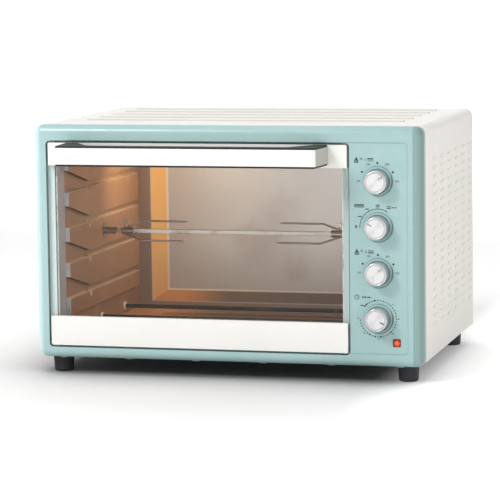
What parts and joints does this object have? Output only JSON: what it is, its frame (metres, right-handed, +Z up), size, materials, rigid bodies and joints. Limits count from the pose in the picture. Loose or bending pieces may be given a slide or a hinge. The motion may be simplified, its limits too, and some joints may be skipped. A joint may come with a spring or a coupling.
{
  "type": "rotisserie oven",
  "caption": "Countertop rotisserie oven with a drop-down glass door, a bar handle, a column of round knobs, a turning spit with forks and tube heaters.",
  "frame": {"origin": "centre of the overall box in plan, on the level of the feet's soles", "axes": "+X to the oven's right side as seen from the front, +Y from the front (handle) to the back, +Z up"},
  "size_m": [0.58, 0.4924, 0.3689],
  "materials": {
    "mint_enamel": "satin pale mint enamel, lightly mottled",
    "cream_enamel": "cream enamel with a fine orange-peel surface",
    "galvanised_sheet": "galvanised sheet, dull and lightly spangled",
    "cavity_sheet": "rolled sheet, warm from heat, lightly streaked",
    "plated_steel": "bright plated steel",
    "heater_sheath": "dark oxidised tube sheath",
    "ceramic": "white glazed ceramic",
    "foot_rubber": "matt black rubber",
    "grommet_rubber": "matt black rubber",
    "door_glass": "clear toughened glass",
    "brushed_trim": "stainless sheet brushed lengthwise",
    "hinge_steel": "pressed and plated steel",
    "spring_steel": "dark spring wire",
    "handle_plastic": "black heat-proof moulding",
    "knob_silver": "satin chromed knob",
    "knob_disc": "spun aluminium disc",
    "spit_steel": "chromed steel, slightly dulled by heat",
    "motor_steel": "zinc-plated can",
    "control_plastic": "heat-proof moulding",
    "orange_lens": "clear orange lens",
    "lamp_plastic": "white moulding"
  },
  "bodies": {
    "oven_body": {"back_panel": "cream_enamel", "base_pan": "galvanised_sheet", "case_screws": "plated_steel", "cavity_back": "cavity_sheet", "cavity_floor": "cavity_sheet", "cavity_front_frame": "cavity_sheet", "cavity_left_wall": "cavity_sheet", "cavity_right_wall": "cavity_sheet", "cavity_roof": "cavity_sheet", "cord_grommet": "grommet_rubber", "feet": "foot_rubber", "foot_screws": "plated_steel", "front_fascia": "mint_enamel", "function_switch": "control_plastic", "heat_shield": "galvanised_sheet", "heater_beads": "ceramic", "indicator_lamp": "lamp_plastic", "indicator_lens": "orange_lens", "lower_heater_front": "heater_sheath", "lower_heater_middle": "heater_sheath", "lower_heater_rear": "heater_sheath", "lower_thermostat": "control_plastic", "outer_case": "cream_enamel", "spit_cradle": "spit_steel", "spit_motor": "motor_steel", "terminal_block": "control_plastic", "timer": "control_plastic", "upper_heater_front": "heater_sheath", "upper_heater_middle": "heater_sheath", "upper_heater_rear": "heater_sheath", "upper_thermostat": "control_plastic"},
    "door": {"door_arm_left": "hinge_steel", "door_arm_right": "hinge_steel", "door_bottom_trim": "brushed_trim", "door_glass": "door_glass", "door_hinge_pins": "plated_steel", "door_spring_left": "spring_steel", "door_spring_right": "spring_steel", "door_top_trim": "brushed_trim", "handle_core": "handle_plastic", "handle_cover": "brushed_trim", "handle_screws": "plated_steel"},
    "drive": {"drive_socket": "spit_steel"},
    "spit": {"spit_rod": "spit_steel"},
    "left_fork": {"left_fork": "spit_steel"},
    "left_fork_screw": {"left_fork_screw": "spit_steel"},
    "right_fork": {"right_fork": "spit_steel"},
    "right_fork_screw": {"right_fork_screw": "spit_steel"},
    "upper_heat_control": {"upper_heat_knob": "knob_silver", "upper_heat_cap": "knob_disc", "upper_heat_shaft": "plated_steel"},
    "lower_heat_control": {"lower_heat_knob": "knob_silver", "lower_heat_cap": "knob_disc", "lower_heat_shaft": "plated_steel"},
    "function_control": {"function_knob": "knob_silver", "function_cap": "knob_disc", "function_shaft": "plated_steel"},
    "timer_control": {"timer_knob": "knob_silver", "timer_cap": "knob_disc", "timer_shaft": "plated_steel"}
  },
  "joints": [
    {"name": "door_hinge", "type": "hinge", "parent": "oven_body", "child": "door", "pos_m": [0, -0.18215, 0.047], "axis": [1, 0, 0], "range_deg": [0, 85], "stiffness_Nm_per_rad": 1.2, "springref_deg": -17.19},
    {"name": "upper_heat_turn", "type": "hinge", "parent": "oven_body", "child": "upper_heat_control", "pos_m": [0.2243, -0.20455, 0.2904], "axis": [0, 1, 0], "range_deg": [-141, 39]},
    {"name": "lower_heat_turn", "type": "hinge", "parent": "oven_body", "child": "lower_heat_control", "pos_m": [0.2243, -0.20455, 0.1594], "axis": [0, 1, 0], "range_deg": [-137, 43]},
    {"name": "function_turn", "type": "hinge", "parent": "oven_body", "child": "function_control", "pos_m": [0.2243, -0.20455, 0.2249], "axis": [0, 1, 0], "range_deg": [-32, 88]},
    {"name": "timer_turn", "type": "hinge", "parent": "oven_body", "child": "timer_control", "pos_m": [0.2243, -0.20455, 0.0939], "axis": [0, 1, 0], "range_deg": [-161, 157]},
    {"name": "drive_spin", "type": "hinge", "parent": "oven_body", "child": "drive", "pos_m": [0.163, 0.02303, 0.19015], "axis": [1, 0, 0], "continuous": true},
    {"name": "spit_spin", "type": "hinge", "parent": "oven_body", "child": "spit", "pos_m": [-0.044, 0.02303, 0.19015], "axis": [1, 0, 0], "continuous": true},
    {"name": "left_fork_slide", "type": "slide", "parent": "spit", "child": "left_fork", "axis": [1, 0, 0], "range_m": [-0.006, 0.06]},
    {"name": "right_fork_slide", "type": "slide", "parent": "spit", "child": "right_fork", "axis": [-1, 0, 0], "range_m": [-0.015, 0.06]},
    {"name": "left_fork_screw_turn", "type": "hinge", "parent": "left_fork", "child": "left_fork_screw", "pos_m": [-0.2155, 0.02303, 0.19015], "axis": [0, 0, 1], "range_deg": [0, 720]},
    {"name": "right_fork_screw_turn", "type": "hinge", "parent": "right_fork", "child": "right_fork_screw", "pos_m": [0.1204, 0.02303, 0.19015], "axis": [0, 0, 1], "range_deg": [0, 720]}
  ],
  "couplings": [
    {"joint": "drive_spin", "follows": "spit_spin", "ratio": 1}
  ]
}
